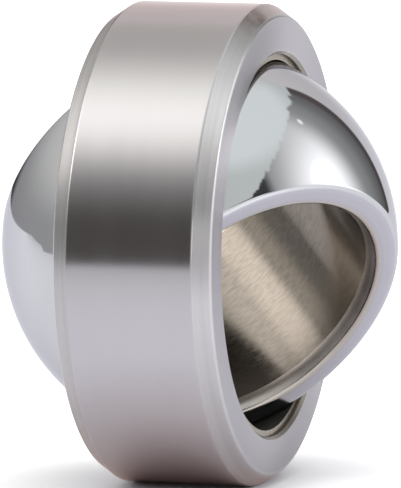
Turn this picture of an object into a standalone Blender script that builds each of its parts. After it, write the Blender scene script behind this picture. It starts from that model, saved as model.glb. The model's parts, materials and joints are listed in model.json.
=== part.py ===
"""Radial spherical plain bearing: a steel outer ring, the sliding layer bonded in it, and a ball-shaped inner ring.

All three are turned rings about one point, the centre of the ball, which is the origin.
The outer ring's axis is world X. The inner ring is swung away from it about a line through the same point.
"""

import math

import bpy
from mathutils import Matrix

MM = 0.001

# Outer ring
OUTER_DIAMETER = 35.0 * MM
OUTER_WIDTH = 11.75 * MM
OUTER_WALL = 2.5 * MM
OUTER_CHAMFER_WIDTH = 1.25 * MM
OUTER_CHAMFER_DEPTH = 0.85 * MM
MOUTH_BEVEL = 0.225 * MM

# Sliding layer
LAYER_THICKNESS = 0.4 * MM
LAYER_RECESS = 0.45 * MM
RUNNING_CLEARANCE = 0.1 * MM
BOND_CLEARANCE = 0.1 * MM

# Inner ring
INNER_WALL = 4.4 * MM
END_FACE_WIDTH = 1.66 * MM
BORE_CHAMFER_WIDTH = 0.75 * MM
BORE_CHAMFER_DEPTH = 0.35 * MM

# Broken edges
OUTER_EDGE_RADIUS = 0.15 * MM
RIM_EDGE_RADIUS = 0.25 * MM

# Pose of the inner ring: how far it is swung, and towards which side (0 is +Y, 90 is +Z)
SWING_DEG = 49.3
SWING_SIDE_DEG = -130.3

# Fineness
STEPS_ROUND = 72
ARC_STEP_DEG = 5.0
EDGE_STEPS = 2
SHARP_ANGLE_DEG = 25.0
MERGE_DISTANCE = 0.001 * MM

# The rings nest: each size follows from the one outside it. A wall is the steel's thickness at mid width.
OUTER_RADIUS = OUTER_DIAMETER / 2
RACE_RADIUS = OUTER_RADIUS - OUTER_WALL
LAYER_OUTER_RADIUS = RACE_RADIUS - BOND_CLEARANCE
LAYER_INNER_RADIUS = LAYER_OUTER_RADIUS - LAYER_THICKNESS
BALL_RADIUS = LAYER_INNER_RADIUS - RUNNING_CLEARANCE
BORE_RADIUS = BALL_RADIUS - INNER_WALL
BORE_MOUTH_RADIUS = BORE_RADIUS + BORE_CHAMFER_DEPTH
RIM_RADIUS = BORE_MOUTH_RADIUS + END_FACE_WIDTH
INNER_HALF_WIDTH = math.sqrt(BALL_RADIUS**2 - RIM_RADIUS**2)


def clear_scene():
    """Remove every object of the scene."""
    for obj in list(bpy.data.objects):
        bpy.data.objects.remove(obj, do_unlink=True)


def metal(name, colour, roughness, metallic=1.0):
    """A plain Principled material."""
    material = bpy.data.materials.new(name)
    material.use_nodes = True
    shader = material.node_tree.nodes["Principled BSDF"]
    shader.inputs["Base Color"].default_value = (*colour, 1.0)
    shader.inputs["Roughness"].default_value = roughness
    shader.inputs["Metallic"].default_value = metallic
    return material


def sphere_arc(radius, start_height, end_height):
    """(radius, height) points of a sphere's outline between two heights, both ends included."""
    start = math.asin(start_height / radius)
    end = math.asin(end_height / radius)
    steps = max(2, math.ceil(abs(end - start) / math.radians(ARC_STEP_DEG)))
    angles = [start + (end - start) * step / steps for step in range(steps + 1)]
    return [(radius * math.cos(angle), radius * math.sin(angle)) for angle in angles]


def rounded_corner(before, corner, after, radius):
    """The corner of a profile, replaced by an arc that touches both of its sides."""
    to_before = math.atan2(before[1] - corner[1], before[0] - corner[0])
    to_after = math.atan2(after[1] - corner[1], after[0] - corner[0])
    opening = (to_after - to_before + math.pi) % (2 * math.pi) - math.pi
    reach = radius / abs(math.sin(opening / 2))
    middle = to_before + opening / 2
    centre = (corner[0] + reach * math.cos(middle), corner[1] + reach * math.sin(middle))
    sweep = math.copysign(math.pi, opening) - opening
    start = to_before - math.copysign(math.pi / 2, opening)
    points = []
    for step in range(EDGE_STEPS + 1):
        angle = start - sweep * step / EDGE_STEPS
        points.append((centre[0] + radius * math.cos(angle), centre[1] + radius * math.sin(angle)))
    return points


def with_rounded_corners(profile, radii):
    """The profile with an arc at each index in radii."""
    points = []
    for index, corner in enumerate(profile):
        if index in radii:
            after = profile[(index + 1) % len(profile)]
            points += rounded_corner(profile[index - 1], corner, after, radii[index])
        else:
            points.append(corner)
    return points


def outer_ring_profile():
    """Down the outer side, then up the hollow race. A 45 degree bevel opens the race to each face."""
    half_width = OUTER_WIDTH / 2
    face_radius = OUTER_RADIUS - OUTER_CHAMFER_DEPTH
    shoulder = half_width - OUTER_CHAMFER_WIDTH
    race_end = half_width - MOUTH_BEVEL
    mouth_radius = math.sqrt(RACE_RADIUS**2 - race_end**2) + MOUTH_BEVEL
    profile = [
        (face_radius, half_width),
        (OUTER_RADIUS, shoulder),
        (OUTER_RADIUS, -shoulder),
        (face_radius, -half_width),
        (mouth_radius, -half_width),
        *sphere_arc(RACE_RADIUS, -race_end, race_end),
        (mouth_radius, half_width),
    ]
    return with_rounded_corners(profile, {index: OUTER_EDGE_RADIUS for index in range(4)})


def sliding_layer_profile():
    """Down the side that is bonded to the race, then up the side that the ball slides on."""
    half_width = OUTER_WIDTH / 2 - LAYER_RECESS
    return [
        *sphere_arc(LAYER_OUTER_RADIUS, half_width, -half_width),
        *sphere_arc(LAYER_INNER_RADIUS, -half_width, half_width),
    ]


def inner_ring_profile():
    """Down the ball surface, then up the bore."""
    bore_end = INNER_HALF_WIDTH - BORE_CHAMFER_WIDTH
    ball = sphere_arc(BALL_RADIUS, INNER_HALF_WIDTH, -INNER_HALF_WIDTH)
    profile = [
        *ball,
        (BORE_MOUTH_RADIUS, -INNER_HALF_WIDTH),
        (BORE_RADIUS, -bore_end),
        (BORE_RADIUS, bore_end),
        (BORE_MOUTH_RADIUS, INNER_HALF_WIDTH),
    ]
    return with_rounded_corners(profile, {0: RIM_EDGE_RADIUS, len(ball) - 1: RIM_EDGE_RADIUS})


def turned_ring(name, profile, material, collection, placement):
    """Turn a closed (radius, height) profile once round local Z, and place the ring."""
    outline = bpy.data.meshes.new(name + "_outline")
    corners = [(radius, 0.0, height) for radius, height in profile]
    edges = [(index, (index + 1) % len(corners)) for index in range(len(corners))]
    outline.from_pydata(corners, edges, [])
    ring = bpy.data.objects.new(name, outline)
    collection.objects.link(ring)

    turn = ring.modifiers.new("Turn", "SCREW")
    turn.axis = "Z"
    turn.angle = 2 * math.pi
    turn.steps = STEPS_ROUND
    turn.render_steps = STEPS_ROUND
    turn.use_merge_vertices = True
    turn.merge_threshold = MERGE_DISTANCE

    depsgraph = bpy.context.evaluated_depsgraph_get()
    solid = bpy.data.meshes.new_from_object(ring.evaluated_get(depsgraph))
    ring.modifiers.remove(turn)
    ring.data = solid
    solid.name = name
    bpy.data.meshes.remove(outline)

    solid.shade_smooth()
    solid.set_sharp_from_angle(angle=math.radians(SHARP_ANGLE_DEG))
    solid.materials.append(material)
    ring.matrix_world = placement
    return ring


def outer_placement():
    """Local Z, the turned axis, along world X."""
    return Matrix.Rotation(math.radians(90.0), 4, "Y")


def inner_placement():
    """The outer ring's placement, swung towards one side about a line through the ball's centre."""
    side = Matrix.Rotation(math.radians(SWING_SIDE_DEG), 4, "X")
    swing = side @ Matrix.Rotation(math.radians(SWING_DEG), 4, "Z")
    return swing @ outer_placement()


def build():
    """Make the three rings."""
    clear_scene()
    collection = bpy.data.collections.new("spherical_plain_bearing")
    bpy.context.scene.collection.children.link(collection)

    satin_steel = metal("satin_steel", (0.62, 0.60, 0.61), 0.35)
    bronze_liner = metal("bronze_liner", (0.30, 0.26, 0.20), 0.55)
    bright_chrome = metal("bright_chrome", (0.80, 0.82, 0.85), 0.06)

    turned_ring("outer_ring", outer_ring_profile(), satin_steel, collection, outer_placement())
    turned_ring("sliding_layer", sliding_layer_profile(), bronze_liner, collection, outer_placement())
    turned_ring("inner_ring", inner_ring_profile(), bright_chrome, collection, inner_placement())


build()
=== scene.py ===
"""Spherical plain bearing: finely turned rings in place of the three CAD solids, with a studio round them.

Sizes are in millimetres, and the meshes and the stage are in metres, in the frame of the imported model.
Each ring is turned about its own Z axis and then placed: the outer ring's axis is world X.
"""

import json
import math

import bpy
import numpy as np
from mathutils import Matrix, Vector


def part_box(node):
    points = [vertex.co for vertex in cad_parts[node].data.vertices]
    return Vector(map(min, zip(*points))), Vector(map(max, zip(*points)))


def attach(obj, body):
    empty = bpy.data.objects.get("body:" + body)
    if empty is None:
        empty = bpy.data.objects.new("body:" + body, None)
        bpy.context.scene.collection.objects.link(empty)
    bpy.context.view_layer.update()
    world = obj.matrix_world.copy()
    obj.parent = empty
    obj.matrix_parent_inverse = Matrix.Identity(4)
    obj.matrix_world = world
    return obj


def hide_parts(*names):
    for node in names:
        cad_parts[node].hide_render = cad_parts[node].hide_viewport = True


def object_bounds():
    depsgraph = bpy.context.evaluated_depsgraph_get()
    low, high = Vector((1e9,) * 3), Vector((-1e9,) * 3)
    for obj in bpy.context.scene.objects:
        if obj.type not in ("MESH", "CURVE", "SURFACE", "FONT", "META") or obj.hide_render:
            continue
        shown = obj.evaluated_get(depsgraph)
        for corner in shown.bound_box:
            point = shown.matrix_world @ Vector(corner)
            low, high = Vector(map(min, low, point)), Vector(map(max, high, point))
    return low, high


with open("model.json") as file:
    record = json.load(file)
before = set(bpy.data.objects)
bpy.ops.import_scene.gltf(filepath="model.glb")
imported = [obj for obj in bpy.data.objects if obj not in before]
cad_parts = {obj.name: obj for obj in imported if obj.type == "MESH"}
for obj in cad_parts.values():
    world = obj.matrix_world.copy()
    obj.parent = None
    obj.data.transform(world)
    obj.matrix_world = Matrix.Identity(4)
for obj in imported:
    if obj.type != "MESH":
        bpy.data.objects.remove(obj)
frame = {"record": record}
cad_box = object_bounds()

MM = 0.001

# Outer ring
OUTER_CHAMFER_WIDTH = 1.25
OUTER_CHAMFER_DEPTH = 0.85
OUTSIDE_EDGE_RADIUS = 0.32
FACE_EDGE_RADIUS = 0.32
OUTER_WALL = 2.5
MOUTH_BEVEL = 0.225
MOUTH_EDGE_RADIUS = 0.06

# Sliding layer
LAYER_THICKNESS = 0.4
BOND_CLEARANCE = 0.1
BOND_FILM = 0.01
RUNNING_CLEARANCE = 0.1

# Inner ring
INNER_WALL = 4.4
END_FACE_WIDTH = 1.66
BORE_CHAMFER_WIDTH = 0.75
BORE_CHAMFER_DEPTH = 0.35
RIM_EDGE_RADIUS = 0.45
BORE_MOUTH_EDGE_RADIUS = 0.42
BORE_EDGE_RADIUS = 1.8

# Fineness
STEPS_ROUND = 256
ARC_STEP_DEG = 1.5
FILLET_STEP_DEG = 6.0

# Names of the rings' own coordinates: before they are placed, and unrolled round the axis
OWN_PLACE = "own_place"
UNROLLED = "unrolled"

# Painted brown shade on the front chamfer near the top, in metres in the ring's own coordinates
PAINTED_SHADE_PLACE = (-0.0166, -0.0036, 0.0058)
PAINTED_SHADE_REACH = 0.0031
PAINTED_SHADE_CORE_SHARE = 0.2
PAINTED_SHADE_COLOUR = (0.32, 0.28, 0.275)

# Camera, fitted to the photograph's outlines
IMAGE_WIDTH = 401
IMAGE_HEIGHT = 488
CAMERA_AZIMUTH_DEG = 16.94
CAMERA_ELEVATION_DEG = 6.13
CAMERA_DISTANCE = 0.6098
SENSOR_WIDTH = 36.0
FOCAL_PIXELS = 8393.8
CENTRE_X_PIXEL = 199.95
CENTRE_Y_PIXEL = 242.85


def extent_mm(node, axis):
    """Half the size of a CAD node's box along one axis, in millimetres."""
    low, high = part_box(node)
    return (high[axis] - low[axis]) / 2 / MM


OUTER_RADIUS = extent_mm("outer_ring", 2)
OUTER_HALF_WIDTH = extent_mm("outer_ring", 0)
LAYER_HALF_WIDTH = extent_mm("sliding_layer", 0)
RACE_RADIUS = OUTER_RADIUS - OUTER_WALL
LAYER_OUTER_RADIUS = RACE_RADIUS - BOND_FILM
LAYER_INNER_RADIUS = RACE_RADIUS - BOND_CLEARANCE - LAYER_THICKNESS
BALL_RADIUS = LAYER_INNER_RADIUS - RUNNING_CLEARANCE
BORE_RADIUS = BALL_RADIUS - INNER_WALL
BORE_MOUTH_RADIUS = BORE_RADIUS + BORE_CHAMFER_DEPTH
RIM_RADIUS = BORE_MOUTH_RADIUS + END_FACE_WIDTH
INNER_HALF_WIDTH = math.sqrt(BALL_RADIUS**2 - RIM_RADIUS**2)
FLOOR_HEIGHT = cad_box[0][2]

# The ball's centre in an outline
BALL_CENTRE = (0.0, 0.0)


# Turned rings. A side is (start, start normal, end, end normal, finish), each a (radius, height) pair.

def straight(start, end, finish):
    """One flat side. The outside lies to its left when the outer surface is followed downwards."""
    along = np.subtract(end, start) / np.linalg.norm(np.subtract(end, start))
    normal = (-along[1], along[0])
    return [(start, normal, end, normal, finish)]


def curved(centre, radius, start_angle, end_angle, finish, step_deg, hollow=False):
    """An arc between two angles, in radians from the outward direction. A hollow one faces its centre."""
    count = max(1, math.ceil(abs(end_angle - start_angle) / math.radians(step_deg) - 1e-6))
    facing = -1.0 if hollow else 1.0
    angles = [start_angle + (end_angle - start_angle) * step / count for step in range(count + 1)]
    sides = []
    for first, last in zip(angles, angles[1:]):
        rays = [(math.cos(angle), math.sin(angle)) for angle in (first, last)]
        points = [(centre[0] + radius * ray[0], centre[1] + radius * ray[1]) for ray in rays]
        normals = [(facing * ray[0], facing * ray[1]) for ray in rays]
        sides.append((points[0], normals[0], points[1], normals[1], finish))
    return sides


def rounded_outline(corners):
    """Straight sides with a rounded edge at each corner but the first and the last.

    A corner is (radius, height, rounding, finish of the side after it, finish of its edge).
    """
    places = [np.array(corner[:2]) for corner in corners]
    touches = []
    for index in range(1, len(corners) - 1):
        to_before = places[index - 1] - places[index]
        to_after = places[index + 1] - places[index]
        to_before /= np.linalg.norm(to_before)
        to_after /= np.linalg.norm(to_after)
        half_opening = math.acos(np.clip(to_before @ to_after, -1, 1)) / 2
        rounding = corners[index][2]
        reach = rounding / math.tan(half_opening)
        middle = to_before + to_after
        centre = places[index] + middle / np.linalg.norm(middle) * rounding / math.sin(half_opening)
        touches.append((places[index] + to_before * reach, centre, places[index] + to_after * reach))
    sides = []
    start = places[0]
    for index, (enter, centre, leave) in enumerate(touches):
        sides += straight(tuple(start), tuple(enter), corners[index][3])
        first = math.atan2(*(enter - centre)[::-1])
        turn = math.atan2(*(leave - centre)[::-1]) - first
        turn = (turn + math.pi) % (2 * math.pi) - math.pi
        finish = corners[index + 1][4]
        sides += curved(tuple(centre), corners[index + 1][2], first, first + turn, finish, FILLET_STEP_DEG)
        start = leave
    sides += straight(tuple(start), tuple(places[-1]), corners[-2][3])
    return sides


def outer_ring_sides():
    """Down the outside from the front face to the back face, then up the hollow race."""
    shoulder = OUTER_HALF_WIDTH - OUTER_CHAMFER_WIDTH
    face_radius = OUTER_RADIUS - OUTER_CHAMFER_DEPTH
    race_end = OUTER_HALF_WIDTH - MOUTH_BEVEL
    race_end_radius = math.sqrt(RACE_RADIUS**2 - race_end**2)
    mouth_radius = race_end_radius + MOUTH_BEVEL
    upper = [
        (race_end_radius, race_end, 0.0, "race", None),
        (mouth_radius, OUTER_HALF_WIDTH, MOUTH_EDGE_RADIUS, "face", "edge"),
        (face_radius, OUTER_HALF_WIDTH, FACE_EDGE_RADIUS, "chamfer", "edge"),
        (OUTER_RADIUS, shoulder, OUTSIDE_EDGE_RADIUS, "outside", "outside"),
    ]
    lower = [
        (OUTER_RADIUS, -shoulder, OUTSIDE_EDGE_RADIUS, "chamfer", "outside"),
        (face_radius, -OUTER_HALF_WIDTH, FACE_EDGE_RADIUS, "face", "edge"),
        (mouth_radius, -OUTER_HALF_WIDTH, MOUTH_EDGE_RADIUS, "race", "edge"),
        (race_end_radius, -race_end, 0.0, "race", None),
    ]
    end_angle = math.asin(race_end / RACE_RADIUS)
    race = curved(BALL_CENTRE, RACE_RADIUS, -end_angle, end_angle, "race", ARC_STEP_DEG, hollow=True)
    return rounded_outline(upper + lower) + race


def sliding_layer_sides():
    """Down the side that is bonded to the race, across the end, and up the side that the ball slides on."""
    outer_angle = math.asin(LAYER_HALF_WIDTH / LAYER_OUTER_RADIUS)
    inner_angle = math.asin(LAYER_HALF_WIDTH / LAYER_INNER_RADIUS)
    bonded = curved(BALL_CENTRE, LAYER_OUTER_RADIUS, outer_angle, -outer_angle, "backing", ARC_STEP_DEG)
    running = curved(BALL_CENTRE, LAYER_INNER_RADIUS, -inner_angle, inner_angle, "running", ARC_STEP_DEG,
                     hollow=True)
    back_end = straight(bonded[-1][2], running[0][0], "backing")
    front_end = straight(running[-1][2], bonded[0][0], "backing")
    return bonded + back_end + running + front_end


def inner_ring_sides():
    """Down the ball between two rounded rims, across the back face, up the bore, across the front face."""
    rim_height = INNER_HALF_WIDTH - RIM_EDGE_RADIUS
    rim_centre = math.sqrt((BALL_RADIUS - RIM_EDGE_RADIUS)**2 - rim_height**2)
    rim_angle = math.atan2(rim_height, rim_centre)
    ball = curved(BALL_CENTRE, BALL_RADIUS, rim_angle, -rim_angle, "ball", ARC_STEP_DEG)
    front_rim = curved((rim_centre, rim_height), RIM_EDGE_RADIUS, math.pi / 2, rim_angle, "rim",
                       FILLET_STEP_DEG)
    back_rim = curved((rim_centre, -rim_height), RIM_EDGE_RADIUS, -rim_angle, -math.pi / 2, "rim",
                      FILLET_STEP_DEG)
    bore_end = INNER_HALF_WIDTH - BORE_CHAMFER_WIDTH
    bore = rounded_outline([
        (rim_centre, -INNER_HALF_WIDTH, 0.0, "end", None),
        (BORE_MOUTH_RADIUS, -INNER_HALF_WIDTH, BORE_MOUTH_EDGE_RADIUS, "bevel", "lip"),
        (BORE_RADIUS, -bore_end, BORE_EDGE_RADIUS, "bore", "bevel"),
        (BORE_RADIUS, bore_end, BORE_EDGE_RADIUS, "bevel", "bevel"),
        (BORE_MOUTH_RADIUS, INNER_HALF_WIDTH, BORE_MOUTH_EDGE_RADIUS, "end", "lip"),
        (rim_centre, INNER_HALF_WIDTH, 0.0, "end", None),
    ])
    return front_rim + ball + back_rim + bore


def turned_ring(name, sides, finishes, placement):
    """Turn the outline once round Z into a closed mesh with exact normals, one material to each finish."""
    names = list(finishes)
    angles = np.arange(STEPS_ROUND) * 2 * math.pi / STEPS_ROUND
    cosines, sines = np.cos(angles), np.sin(angles)

    def spun(pairs):
        """The (radius, height) pairs at every step round: an array of steps by pairs by 3."""
        radius, height = np.array(pairs, dtype=float).T
        flat = np.broadcast_to(height, (STEPS_ROUND, len(height)))
        return np.stack([np.outer(cosines, radius), np.outer(sines, radius), flat], axis=2)

    count = len(sides)
    own_places = spun([side[0] for side in sides]).reshape(-1, 3) * MM
    start_normals = spun([side[1] for side in sides])
    end_normals = spun([side[3] for side in sides])

    step, side = np.meshgrid(np.arange(STEPS_ROUND), np.arange(count), indexing="ij")
    next_step, next_side = (step + 1) % STEPS_ROUND, (side + 1) % count
    quads = np.stack([step * count + side, step * count + next_side,
                      next_step * count + next_side, next_step * count + side], axis=2)
    normals = np.stack([start_normals[step, side], end_normals[step, side],
                        end_normals[next_step, side], start_normals[next_step, side]], axis=2)

    lengths = [math.dist(side[0], side[2]) for side in sides]
    along = np.concatenate([[0.0], np.cumsum(lengths)]) / sum(lengths)
    unrolled_corners = ((step, along[side]), (step, along[side + 1]),
                        (step + 1, along[side + 1]), (step + 1, along[side]))
    unrolled = np.stack([np.stack(corner, axis=2) for corner in unrolled_corners], axis=2) / (STEPS_ROUND, 1)

    turn = np.array(placement.to_3x3())
    mesh = bpy.data.meshes.new(name)
    mesh.from_pydata((own_places @ turn.T).tolist(), [], quads.reshape(-1, 4).tolist())
    mesh.shade_smooth()
    indices = [names.index(side[4]) for side in sides]
    mesh.polygons.foreach_set("material_index", np.tile(indices, STEPS_ROUND).astype(np.int32))
    mesh.attributes.new(OWN_PLACE, "FLOAT_VECTOR", "POINT").data.foreach_set("vector", own_places.ravel())
    mesh.uv_layers.new(name=UNROLLED).data.foreach_set("uv", unrolled.ravel())
    mesh.normals_split_custom_set((normals.reshape(-1, 3) @ turn.T).tolist())
    for finish in names:
        mesh.materials.append(finishes[finish])
    ring = bpy.data.objects.new(name, mesh)
    bpy.context.scene.collection.objects.link(ring)
    return ring


# Materials. Grain is in noise cells per metre, across the grain and along it.

WHITE = (1.0, 1.0, 1.0)
GROUND_TINT = (1.0, 0.90, 0.87)
FINE_GRAIN_ACROSS = 9000.0
FINE_GRAIN_ALONG = 120.0
PAINTED_SHADE_GRAIN_ACROSS = 900.0
PAINTED_SHADE_GRAIN_ALONG = 500.0

# Where most of a noise's values lie
NOISE_SPAN = (0.3, 0.7)
PAINTED_SHADE_NOISE_SPAN = (0.35, 0.6)


def put(tree, socket, value):
    """Feed a socket from another node, or set it to a number, a colour or a vector."""
    if isinstance(value, bpy.types.NodeSocket):
        tree.links.new(value, socket)
    elif socket.type == "RGBA":
        socket.default_value = (*value, 1.0)
    else:
        socket.default_value = value


def calc(tree, operation, *values):
    """One step of arithmetic."""
    node = tree.nodes.new("ShaderNodeMath")
    node.operation = operation
    for socket, value in zip(node.inputs, values):
        put(tree, socket, value)
    return node.outputs["Value"]


def product(tree, *values):
    """All values multiplied."""
    total = values[0]
    for value in values[1:]:
        total = calc(tree, "MULTIPLY", total, value)
    return total


def remap(tree, value, start, end, low=0.0, high=1.0, soft=False):
    """The value carried from start..end to low..high and kept between them, with soft ends if wanted."""
    node = tree.nodes.new("ShaderNodeMapRange")
    node.interpolation_type = "SMOOTHSTEP" if soft else "LINEAR"
    for name, number in (("From Min", start), ("From Max", end), ("To Min", low), ("To Max", high)):
        node.inputs[name].default_value = number
    tree.links.new(value, node.inputs["Value"])
    return node.outputs["Result"]


def blend(tree, factor, first, second):
    """A colour that moves from the first to the second as the factor goes from 0 to 1."""
    mix = tree.nodes.new("ShaderNodeMix")
    mix.data_type = "RGBA"
    put(tree, mix.inputs["Factor"], factor)
    put(tree, mix.inputs["A"], first)
    put(tree, mix.inputs["B"], second)
    return mix.outputs["Result"]


def new_material(name, colour, roughness, metallic=1.0, anisotropic=0.0):
    """A Principled material, with its node tree and shader at hand."""
    material = bpy.data.materials.new(name)
    material.use_nodes = True
    tree = material.node_tree
    shader = tree.nodes["Principled BSDF"]
    for socket, value in (("Base Color", colour), ("Roughness", roughness), ("Metallic", metallic),
                          ("Anisotropic", anisotropic)):
        put(tree, shader.inputs[socket], value)
    return material, tree, shader


def grain_round_axis(tree, shader):
    """Let the grain run round the ring's own axis, so that a highlight is drawn out across it."""
    tangent = tree.nodes.new("ShaderNodeTangent")
    tangent.direction_type = "UV_MAP"
    tangent.uv_map = UNROLLED
    tree.links.new(tangent.outputs["Tangent"], shader.inputs["Tangent"])
    shader.inputs["Anisotropic Rotation"].default_value = 0.25


def own_place(tree):
    """Where a point lies on its ring, before the ring is placed."""
    place = tree.nodes.new("ShaderNodeAttribute")
    place.attribute_name = OWN_PLACE
    return place.outputs["Vector"]


def vector_step(tree, operation, first, second=None):
    """One step of vector arithmetic. A length, a distance or a dot product comes out as a number."""
    node = tree.nodes.new("ShaderNodeVectorMath")
    node.operation = operation
    put(tree, node.inputs[0], first)
    if second is not None:
        put(tree, node.inputs[1], second)
    return node.outputs["Vector" if operation in ("MULTIPLY", "ADD") else "Value"]


def lined_noise(tree, across, along, detail=3.0):
    """Noise drawn out round the ring's axis: fine across the grain, long along it. Both are per metre."""
    noise = tree.nodes.new("ShaderNodeTexNoise")
    noise.inputs["Scale"].default_value = 1.0
    noise.inputs["Detail"].default_value = detail
    put(tree, noise.inputs["Vector"], vector_step(tree, "MULTIPLY", own_place(tree), (along, along, across)))
    return noise.outputs["Fac"]


def ringed_noise(tree, across, detail=4.0):
    """Noise in rings round the axis, for a face that is turned or ground flat."""
    level = vector_step(tree, "MULTIPLY", own_place(tree), (1.0, 1.0, 0.0))
    noise = tree.nodes.new("ShaderNodeTexNoise")
    noise.noise_dimensions = "1D"
    noise.inputs["Scale"].default_value = across
    noise.inputs["Detail"].default_value = detail
    tree.links.new(vector_step(tree, "LENGTH", level), noise.inputs["W"])
    return noise.outputs["Fac"]


def bump(tree, shader, height, depth_mm):
    """Relief of the given depth."""
    node = tree.nodes.new("ShaderNodeBump")
    node.inputs["Strength"].default_value = 1.0
    node.inputs["Distance"].default_value = depth_mm * MM
    tree.links.new(height, node.inputs["Height"])
    tree.links.new(node.outputs["Normal"], shader.inputs["Normal"])


def satin_steel(name, dark, light, rough_low, rough_high, anisotropic, relief_mm, streak=700.0, drawn=8.0,
                tint=WHITE, metallic=1.0, flat=False, painted_shade=None):
    """Ground or turned steel with a fine grain round its axis. The tint is its colour seen at a low angle.

    A streak is drawn out so many times as long as it is wide, and lies in rings on a flat face.
    The last argument paints a brown patch of painted shade: a place, a reach and a colour.
    """
    material, tree, shader = new_material(name, light, rough_high, metallic, anisotropic)
    put(tree, shader.inputs["Specular Tint"], tint)
    grain_round_axis(tree, shader)
    if flat:
        fine = ringed_noise(tree, FINE_GRAIN_ACROSS)
        broad = ringed_noise(tree, streak)
    else:
        fine = lined_noise(tree, FINE_GRAIN_ACROSS, FINE_GRAIN_ALONG)
        broad = lined_noise(tree, streak, streak / drawn)
    broad = remap(tree, broad, *NOISE_SPAN)
    colour = blend(tree, broad, dark, light)
    # Painted brown shade round a place, mottled by noise
    if painted_shade:
        place, reach, shade_colour = painted_shade
        away = vector_step(tree, "DISTANCE", own_place(tree), place)
        near = remap(tree, away, reach, reach * PAINTED_SHADE_CORE_SHARE, soft=True)
        cloud = remap(tree, lined_noise(tree, PAINTED_SHADE_GRAIN_ACROSS, PAINTED_SHADE_GRAIN_ALONG), *PAINTED_SHADE_NOISE_SPAN)
        colour = blend(tree, product(tree, near, cloud), colour, shade_colour)
    put(tree, shader.inputs["Base Color"], colour)
    put(tree, shader.inputs["Roughness"], remap(tree, broad, 0.0, 1.0, rough_low, rough_high))
    bump(tree, shader, fine, relief_mm)
    return material


def plain_metal(name, colour, roughness, tint=WHITE):
    """Smooth metal whose polish varies a little. The tint is its colour seen at a low angle."""
    material, tree, shader = new_material(name, colour, roughness)
    put(tree, shader.inputs["Specular Tint"], tint)
    cloud = lined_noise(tree, across=250.0, along=250.0)
    put(tree, shader.inputs["Roughness"], remap(tree, cloud, *NOISE_SPAN, roughness * 0.8, roughness * 1.25))
    return material


def liner(name, dark, light, roughness, metallic):
    """The composite layer, slightly mottled: bronze at its back and ends, matt where the ball slides."""
    material, tree, shader = new_material(name, light, roughness, metallic=metallic)
    mottle = remap(tree, lined_noise(tree, across=2500.0, along=2500.0), *NOISE_SPAN)
    put(tree, shader.inputs["Base Color"], blend(tree, mottle, dark, light))
    bump(tree, shader, mottle, 0.004)
    return material


def end_steel(name, inner, outer, roughness, relief_mm):
    """The polished end of the ball ring, with faint rings: painted shade darker towards the bore and a
    painted highlight lighter towards the rim.
    """
    material, tree, shader = new_material(name, outer, roughness)
    level = vector_step(tree, "LENGTH", vector_step(tree, "MULTIPLY", own_place(tree), (1.0, 1.0, 0.0)))
    # Painted shade at the bore's edge and painted highlight at the rim, by distance from the axis
    outward = remap(tree, level, BORE_MOUTH_RADIUS * MM, RIM_RADIUS * MM)
    rings = remap(tree, ringed_noise(tree, across=2500.0), *NOISE_SPAN, -0.12, 0.12)
    put(tree, shader.inputs["Base Color"], blend(tree, calc(tree, "ADD", outward, rings), inner, outer))
    bump(tree, shader, ringed_noise(tree, across=6000.0), relief_mm)
    return material


# Studio. Azimuth 0 points to -Y, the side that the camera is on, and 90 to +X. Lengths are in metres.
# A span is a pair: where a change begins, and where it is complete.

FLOOR_COLOUR = (0.74, 0.735, 0.775)
FLOOR_GLOW_COLOUR = (0.985, 0.975, 1.05)
FLOOR_SHADE_COLOUR = (0.86, 0.75, 0.73)
MIRRORED_LIGHT = 0.34
DIRECT_LIGHT = 0.85
FLOOR_SHADE_REACH = 0.013
FLOOR_SHADE_DEPTH = 1.7
FLOOR_TINT_DEPTH = 2.0
FLOOR_FADE_AZIMUTH = -15.0
FLOOR_FADE_SPAN = (0.015, 0.11)
FLOOR_FADE_SHARE = 0.25
FLOOR_MIDDLE = 0.3
FLOOR_REACH = 3.0
FLOOR_RIM = 0.12
FLOOR_STEPS = 96

GLARE_PLACE = (0.052, -0.034, 0.0)
GLARE_REACH = 0.055
GLARE_GAIN = 2.6

SHEET_LIFT = 0.00001
SHEET_CORNERS = ((-0.42, -0.025), (-0.235, -0.028), (1.98, -2.05), (3.0, -2.05), (3.0, 3.0), (-3.15, 3.0),
                 (-3.15, 0.48))


def direction(azimuth_deg, elevation_deg=0.0):
    """Unit vector."""
    azimuth, elevation = math.radians(azimuth_deg), math.radians(elevation_deg)
    level = math.cos(elevation)
    return Vector((math.sin(azimuth) * level, -math.cos(azimuth) * level, math.sin(elevation)))


def facing(tree, ray, azimuth_deg, elevation_deg=0.0):
    """How far a vector points in a fixed direction: for a ray, the cosine of the angle between them."""
    return vector_step(tree, "DOT_PRODUCT", ray, direction(azimuth_deg, elevation_deg))


def stage_mesh(name, vertices, faces, material):
    """A part of the stage."""
    mesh = bpy.data.meshes.new(name)
    mesh.from_pydata([tuple(vertex) for vertex in vertices], [], faces)
    mesh.materials.append(material)
    piece = bpy.data.objects.new(name, mesh)
    bpy.context.scene.collection.objects.link(piece)
    return piece


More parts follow.
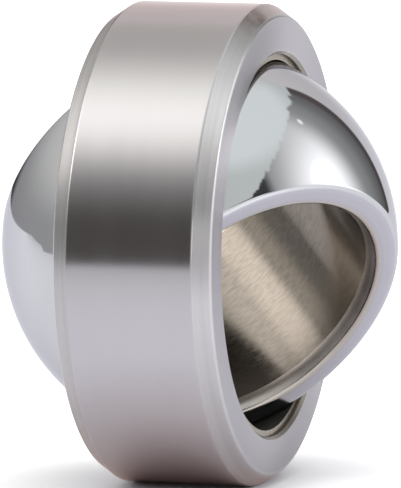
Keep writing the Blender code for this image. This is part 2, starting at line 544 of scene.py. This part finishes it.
def floor_material():
    """White, and a little brown in the shade below the steel.

    Part of it is light of its own, seen directly and in reflections, which fades in the shade, dims a little
    towards the dark end of the room and has a glare below the lamp.
    """
    material, tree, shader = new_material("floor_white", FLOOR_COLOUR, 0.9, metallic=0.0)
    shader.inputs["Specular IOR Level"].default_value = 0.0
    path = tree.nodes.new("ShaderNodeLightPath")
    mirrored = calc(tree, "ADD", path.outputs["Is Glossy Ray"], path.outputs["Is Transmission Ray"])
    shade = tree.nodes.new("ShaderNodeAmbientOcclusion")
    shade.inputs["Distance"].default_value = FLOOR_SHADE_REACH
    open_air = calc(tree, "POWER", shade.outputs["AO"], FLOOR_SHADE_DEPTH)
    place = tree.nodes.new("ShaderNodeTexCoord").outputs["Object"]
    ahead = remap(tree, facing(tree, place, FLOOR_FADE_AZIMUTH), *FLOOR_FADE_SPAN, 1.0, FLOOR_FADE_SHARE)
    from_glare = vector_step(tree, "DISTANCE", place, GLARE_PLACE)
    glare = remap(tree, from_glare, GLARE_REACH, 0.0, 1.0, GLARE_GAIN, soft=True)
    in_mirror = product(tree, mirrored, ahead, glare, MIRRORED_LIGHT)
    direct = calc(tree, "MULTIPLY", path.outputs["Is Camera Ray"], DIRECT_LIGHT)
    closed_in = calc(tree, "POWER", remap(tree, open_air, 1.0, 0.0), FLOOR_TINT_DEPTH)
    shaded = product(tree, mirrored, closed_in)
    glow = blend(tree, mirrored, WHITE, FLOOR_GLOW_COLOUR)
    put(tree, shader.inputs["Base Color"], blend(tree, shaded, FLOOR_COLOUR, FLOOR_SHADE_COLOUR))
    put(tree, shader.inputs["Emission Color"], blend(tree, shaded, glow, FLOOR_SHADE_COLOUR))
    strength = product(tree, calc(tree, "ADD", in_mirror, direct), open_air)
    put(tree, shader.inputs["Emission Strength"], strength)
    return material


def make_floor():
    """A wide floor whose rim turns up a little, and a white sheet on it that ends in front on the left.

    Reflections show the sheet alone, and the room beyond its edge.
    """
    steps = FLOOR_STEPS
    rings = [(FLOOR_MIDDLE, FLOOR_HEIGHT), (FLOOR_REACH, FLOOR_HEIGHT),
             (FLOOR_REACH * 1.02, FLOOR_HEIGHT + FLOOR_RIM * 0.15), (FLOOR_REACH * 1.03, FLOOR_RIM)]
    vertices = [(0.0, 0.0, FLOOR_HEIGHT)]
    for radius, height in rings:
        for step in range(steps):
            angle = 2 * math.pi * step / steps
            vertices.append((radius * math.cos(angle), radius * math.sin(angle), height))
    faces = [(0, 1 + step, 1 + (step + 1) % steps) for step in range(steps)]
    for ring in range(len(rings) - 1):
        base = 1 + ring * steps
        for step in range(steps):
            after = (step + 1) % steps
            faces.append((base + step, base + steps + step, base + steps + after, base + after))
    material = floor_material()
    stage_mesh("floor", vertices, faces, material).visible_glossy = False
    corners = [(x, y, FLOOR_HEIGHT + SHEET_LIFT) for x, y in SHEET_CORNERS]
    stage_mesh("sheet", corners, [tuple(range(len(corners)))], material)


# Overhead: the pale panel, from the left side to the right side
RIGHT_AZIMUTH = 115.0
RIGHT_SPAN = (-0.25, 0.25)
LEFT_COLOURS = ((0.68, 0.665, 0.62), (0.51, 0.53, 0.51))
LEFT_ELEVATION_SPAN = (66.0, 15.0)
RIGHT_COLOURS = ((0.72, 0.755, 0.735), (0.95, 1.00, 0.985))
RIGHT_ELEVATION_SPAN = (42.0, 56.0)

# Its bright peak high in front on the left, and the dark low in front
PEAK_AZIMUTH = -49.0
PEAK_ELEVATION = 65.0
PEAK_SPAN = (0.70, 1.0)
PEAK_FALLOFF = 3.2
PEAK_COLOUR = (1.58, 1.61, 1.48)
FRONT_AZIMUTH = -17.0
FRONT_SPAN = (50.0, 13.0)
FRONT_COLOUR = (0.09, 0.085, 0.075)

# Soft pools: azimuth and elevation of the middle, the cosines of the angles from it at which the pool begins
# and is full, and its colour. A later one lies over the ones before it.
REAR_POOL = (-150.0, 53.0, 0.86, 0.98, (0.67, 0.67, 0.625))
SIDE_POOLS = (
    (-67.0, 44.0, 0.885, 0.97, (1.70, 1.68, 1.60)),
    (-58.0, 50.0, 0.955, 0.99, (2.15, 2.12, 2.03)),
    (-66.0, 26.0, 0.94, 0.995, (1.25, 1.22, 1.15)),
    (-59.0, 35.5, 0.968, 0.997, (3.20, 3.12, 2.96)),
)
LAMP_CORE_POOL = (110.0, 24.0, 0.978, 0.995, (4.2, 4.2, 4.15))

# The wall on the right and its lamp, by azimuth and elevation
WALL_COLOURS = ((0.37, 0.38, 0.37), (0.20, 0.20, 0.20))
WALL_SPAN = (142.0, 160.0)
LAMP_COLOUR = (1.85, 1.85, 1.83)
LAMP_FRONT_SPAN = (60.0, 112.0)
LAMP_BACK_SPAN = (144.0, 116.0)
LAMP_ELEVATION_SPAN = (54.0, 24.0)
LAMP_HIGH_SHARE = 0.32
SPARK_AZIMUTH = 134.0
SPARK_ELEVATION = 46.0
SPARK_SPAN = (0.9996, 0.9999)
SPARK_COLOUR = (1.3, 1.3, 1.3)
GAP_SPAN = (158.5, 163.5)
GAP_COLOUR = (0.12, 0.10, 0.095)

# The wall's dark front corner, and its layers: the elevations at which one begins and is full, and its colour
CORNER_SPAN = (71.0, 62.0)
CORNER_COLOUR = (0.06, 0.06, 0.06)
CORNER_LAYERS = (
    (27.0, 22.0, (0.02, 0.02, 0.03)),
    (17.0, 11.0, (1.20, 1.20, 1.18)),
)

# Upright screens: the azimuths of both ends, the elevation of the top, and half the width of the soft edges
BACKDROP_SCREEN = (166.8, 223.0, 44.0, 1.0)
BACKDROP_COLOURS = ((0.80, 0.77, 0.76), (1.01, 1.00, 1.02))
BACKDROP_ELEVATION_SPAN = (22.0, 2.0)
LEFT_WALL_SCREEN = (223.0, 284.0, 29.0, 2.0)
LEFT_WALL_COLOURS = ((0.42, 0.42, 0.42), (0.74, 0.74, 0.70))
LEFT_WALL_ELEVATION_SPAN = (4.0, 27.0)
REAR_GAP_SCREEN = (205.0, 224.5, 24.0, 4.0)
REAR_GAP_COLOUR = (0.08, 0.08, 0.08)

# The ragged edge between the panel overhead and the wall on the right, which slopes up to the right
PANEL_SLOPE = 1.327
PANEL_EDGE_SPAN = (0.01, -0.02)
PANEL_RAGGEDNESS = 0.035
PANEL_RAG_SCALE = 14.0


def with_pool(tree, light, ray, azimuth, elevation, rim, core, colour):
    """The light with one soft pool over it."""
    near = remap(tree, facing(tree, ray, azimuth, elevation), rim, core, soft=True)
    return blend(tree, near, light, colour)


def overhead_light(tree, ray, elevation):
    """Pale all over, dimmer behind on the left, brightest high in front, and dark low in front."""
    left = blend(tree, remap(tree, elevation, *LEFT_ELEVATION_SPAN, soft=True), *LEFT_COLOURS)
    right = blend(tree, remap(tree, elevation, *RIGHT_ELEVATION_SPAN, soft=True), *RIGHT_COLOURS)
    to_right = remap(tree, facing(tree, ray, RIGHT_AZIMUTH), *RIGHT_SPAN, soft=True)
    light = with_pool(tree, blend(tree, to_right, left, right), ray, *REAR_POOL)
    to_peak = remap(tree, facing(tree, ray, PEAK_AZIMUTH, PEAK_ELEVATION), *PEAK_SPAN)
    light = blend(tree, calc(tree, "POWER", to_peak, PEAK_FALLOFF), light, PEAK_COLOUR)
    for pool in SIDE_POOLS:
        light = with_pool(tree, light, ray, *pool)
    off_front = calc(tree, "DEGREES", calc(tree, "ARCCOSINE", facing(tree, ray, FRONT_AZIMUTH)))
    return blend(tree, remap(tree, off_front, *FRONT_SPAN, soft=True), light, FRONT_COLOUR)


def right_light(tree, ray, azimuth, elevation):
    """A grey wall with a large soft lamp behind it, between a dark corner in front and a dark gap behind."""
    height = remap(tree, elevation, *LAMP_ELEVATION_SPAN, LAMP_HIGH_SHARE, 1.0, soft=True)
    lamp = product(tree, remap(tree, azimuth, *LAMP_FRONT_SPAN, soft=True),
                   remap(tree, azimuth, *LAMP_BACK_SPAN, soft=True), height)
    wall = blend(tree, remap(tree, azimuth, *WALL_SPAN, soft=True), *WALL_COLOURS)
    light = with_pool(tree, blend(tree, lamp, wall, LAMP_COLOUR), ray, *LAMP_CORE_POOL)
    spark = remap(tree, facing(tree, ray, SPARK_AZIMUTH, SPARK_ELEVATION), *SPARK_SPAN)
    light = blend(tree, spark, light, SPARK_COLOUR)
    corner = remap(tree, azimuth, *CORNER_SPAN, soft=True)
    light = blend(tree, corner, light, CORNER_COLOUR)
    for begin, full, colour in CORNER_LAYERS:
        layer = product(tree, corner, remap(tree, elevation, begin, full, soft=True))
        light = blend(tree, layer, light, colour)
    return blend(tree, remap(tree, azimuth, *GAP_SPAN, soft=True), light, GAP_COLOUR)


def screen(tree, azimuth, elevation, start, end, top, softness):
    """How far a direction lies on an upright screen between two azimuths and below its top."""
    return product(tree, remap(tree, azimuth, start - softness, start + softness, soft=True),
                   remap(tree, azimuth, end + softness, end - softness, soft=True),
                   remap(tree, elevation, top + softness, top - softness, soft=True))


def make_world():
    """The studio's light by direction. The camera itself sees plain white where the floor ends."""
    world = bpy.data.worlds.new("studio")
    world.use_nodes = True
    tree = world.node_tree
    ray = tree.nodes.new("ShaderNodeTexCoord").outputs["Generated"]
    split = tree.nodes.new("ShaderNodeSeparateXYZ")
    tree.links.new(ray, split.inputs["Vector"])
    x, y, z = (split.outputs[axis] for axis in "XYZ")
    elevation = calc(tree, "DEGREES", calc(tree, "ARCSINE", z))
    azimuth = calc(tree, "DEGREES", calc(tree, "ARCTAN2", calc(tree, "MULTIPLY", x, -1.0), y))
    azimuth = calc(tree, "ADD", azimuth, 180.0)

    ragged = tree.nodes.new("ShaderNodeTexNoise")
    ragged.inputs["Scale"].default_value = PANEL_RAG_SCALE
    tree.links.new(ray, ragged.inputs["Vector"])
    waver = remap(tree, ragged.outputs["Fac"], *NOISE_SPAN, -PANEL_RAGGEDNESS, PANEL_RAGGEDNESS)
    over_edge = calc(tree, "MULTIPLY_ADD", facing(tree, ray, RIGHT_AZIMUTH), -PANEL_SLOPE, z)
    over_edge = calc(tree, "ADD", over_edge, waver)
    light = blend(tree, remap(tree, over_edge, *PANEL_EDGE_SPAN, soft=True),
                  overhead_light(tree, ray, elevation), right_light(tree, ray, azimuth, elevation))
    backdrop = blend(tree, remap(tree, elevation, *BACKDROP_ELEVATION_SPAN, soft=True), *BACKDROP_COLOURS)
    left_wall = blend(tree, remap(tree, elevation, *LEFT_WALL_ELEVATION_SPAN, soft=True), *LEFT_WALL_COLOURS)
    for place, colour in ((BACKDROP_SCREEN, backdrop), (LEFT_WALL_SCREEN, left_wall),
                          (REAR_GAP_SCREEN, REAR_GAP_COLOUR)):
        light = blend(tree, screen(tree, azimuth, elevation, *place), light, colour)

    path = tree.nodes.new("ShaderNodeLightPath")
    background = tree.nodes["Background"]
    put(tree, background.inputs["Color"], blend(tree, path.outputs["Is Camera Ray"], light, WHITE))
    bpy.context.scene.world = world


def make_camera():
    """A long lens at the photograph's angle."""
    azimuth, elevation = math.radians(CAMERA_AZIMUTH_DEG), math.radians(CAMERA_ELEVATION_DEG)
    right = Vector((math.cos(azimuth), math.sin(azimuth), 0.0))
    back = Vector((math.sin(azimuth) * math.cos(elevation), -math.cos(azimuth) * math.cos(elevation),
                   math.sin(elevation)))
    up = back.cross(right)
    turned = Matrix((right, up, back)).transposed().to_4x4()
    data = bpy.data.cameras.new("camera")
    data.sensor_width = SENSOR_WIDTH
    data.lens = FOCAL_PIXELS / IMAGE_HEIGHT * SENSOR_WIDTH
    data.shift_x = (IMAGE_WIDTH / 2 - CENTRE_X_PIXEL) / IMAGE_HEIGHT
    data.shift_y = (CENTRE_Y_PIXEL - IMAGE_HEIGHT / 2) / IMAGE_HEIGHT
    camera = bpy.data.objects.new("camera", data)
    bpy.context.scene.collection.objects.link(camera)
    camera.matrix_world = Matrix.Translation(back * CAMERA_DISTANCE) @ turned
    bpy.context.scene.camera = camera


def make_outer_ring(placement):
    """Ground outside and side faces, turned chamfers and a plain race."""
    outside = satin_steel("ground_outside", (0.534, 0.513, 0.542), (0.544, 0.523, 0.552), rough_low=0.19,
                          rough_high=0.21, anisotropic=0.75, relief_mm=0.0006, tint=GROUND_TINT)
    chamfer = satin_steel("turned_chamfer", (0.535, 0.52, 0.535), (0.655, 0.64, 0.655), rough_low=0.35,
                          rough_high=0.42, anisotropic=1.0, relief_mm=0.0006, streak=2500.0, drawn=60.0,
                          tint=GROUND_TINT, painted_shade=(PAINTED_SHADE_PLACE, PAINTED_SHADE_REACH, PAINTED_SHADE_COLOUR))
    face = satin_steel("ground_face", (0.435, 0.42, 0.45), (0.465, 0.45, 0.48), rough_low=0.32,
                       rough_high=0.38, anisotropic=0.9, relief_mm=0.0004, flat=True)
    edge = plain_metal("steel_edge", (0.58, 0.565, 0.58), roughness=0.36)
    race = plain_metal("steel_race", (0.30, 0.27, 0.245), roughness=0.30)
    finishes = {"outside": outside, "chamfer": chamfer, "face": face, "edge": edge, "race": race}
    return turned_ring("turned_outer_ring", outer_ring_sides(), finishes, placement)


def make_sliding_layer(placement):
    """Bronze where it is bonded and at its ends, and dark where the ball slides."""
    backing = liner("liner_backing", (0.25, 0.22, 0.165), (0.33, 0.295, 0.225), roughness=0.30, metallic=0.9)
    running = liner("liner_running", (0.02, 0.02, 0.015), (0.04, 0.04, 0.03), roughness=0.7, metallic=0.2)
    finishes = {"backing": backing, "running": running}
    return turned_ring("bonded_sliding_layer", sliding_layer_sides(), finishes, placement)


def make_inner_ring(placement):
    """Chromed ball and rims, polished ends, and a ground bore with a bevel and a lip at each mouth."""
    chrome = plain_metal("ball_chrome", (0.62, 0.625, 0.65), roughness=0.05, tint=(0.72, 0.72, 0.75))
    end = end_steel("ground_end", (0.46, 0.45, 0.485), (0.56, 0.55, 0.61), roughness=0.18, relief_mm=0.0002)
    lip = plain_metal("bore_lip", (0.54, 0.49, 0.45), roughness=0.24)
    bevel = plain_metal("bore_bevel", (0.72, 0.66, 0.63), roughness=0.45)
    bore = satin_steel("ground_bore", (0.185, 0.161, 0.139), (0.270, 0.240, 0.212), rough_low=0.14,
                       rough_high=0.20, anisotropic=0.6, relief_mm=0.0002, streak=6000.0, drawn=4.0,
                       metallic=0.9)
    finishes = {"ball": chrome, "rim": chrome, "end": end, "lip": lip, "bevel": bevel, "bore": bore}
    return turned_ring("chromed_inner_ring", inner_ring_sides(), finishes, placement)


def make_bearing():
    """The three rings, each in place of its CAD solid and riding on that solid's body."""
    along_x = Matrix.Rotation(math.radians(90.0), 4, "Y")
    mounts = {mount["name"]: mount for mount in frame["record"]["mounts"]}
    inner_axis = Vector(mounts["inner_ring_face_front"]["axis"])
    swing = Vector((1, 0, 0)).rotation_difference(inner_axis).to_matrix().to_4x4()

    outer = make_outer_ring(along_x)
    layer = make_sliding_layer(along_x)
    inner = make_inner_ring(swing @ along_x)
    for piece, node, body, slot in ((outer, "outer_ring", "outer_ring", "satin_steel"),
                                    (layer, "sliding_layer", "swing_plane", "bronze_liner"),
                                    (inner, "inner_ring", "inner_ring", "bright_chrome")):
        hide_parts(node)
        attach(piece, body)


make_camera()
make_world()
make_floor()
make_bearing()
bpy.context.scene.view_settings.view_transform = "Standard"
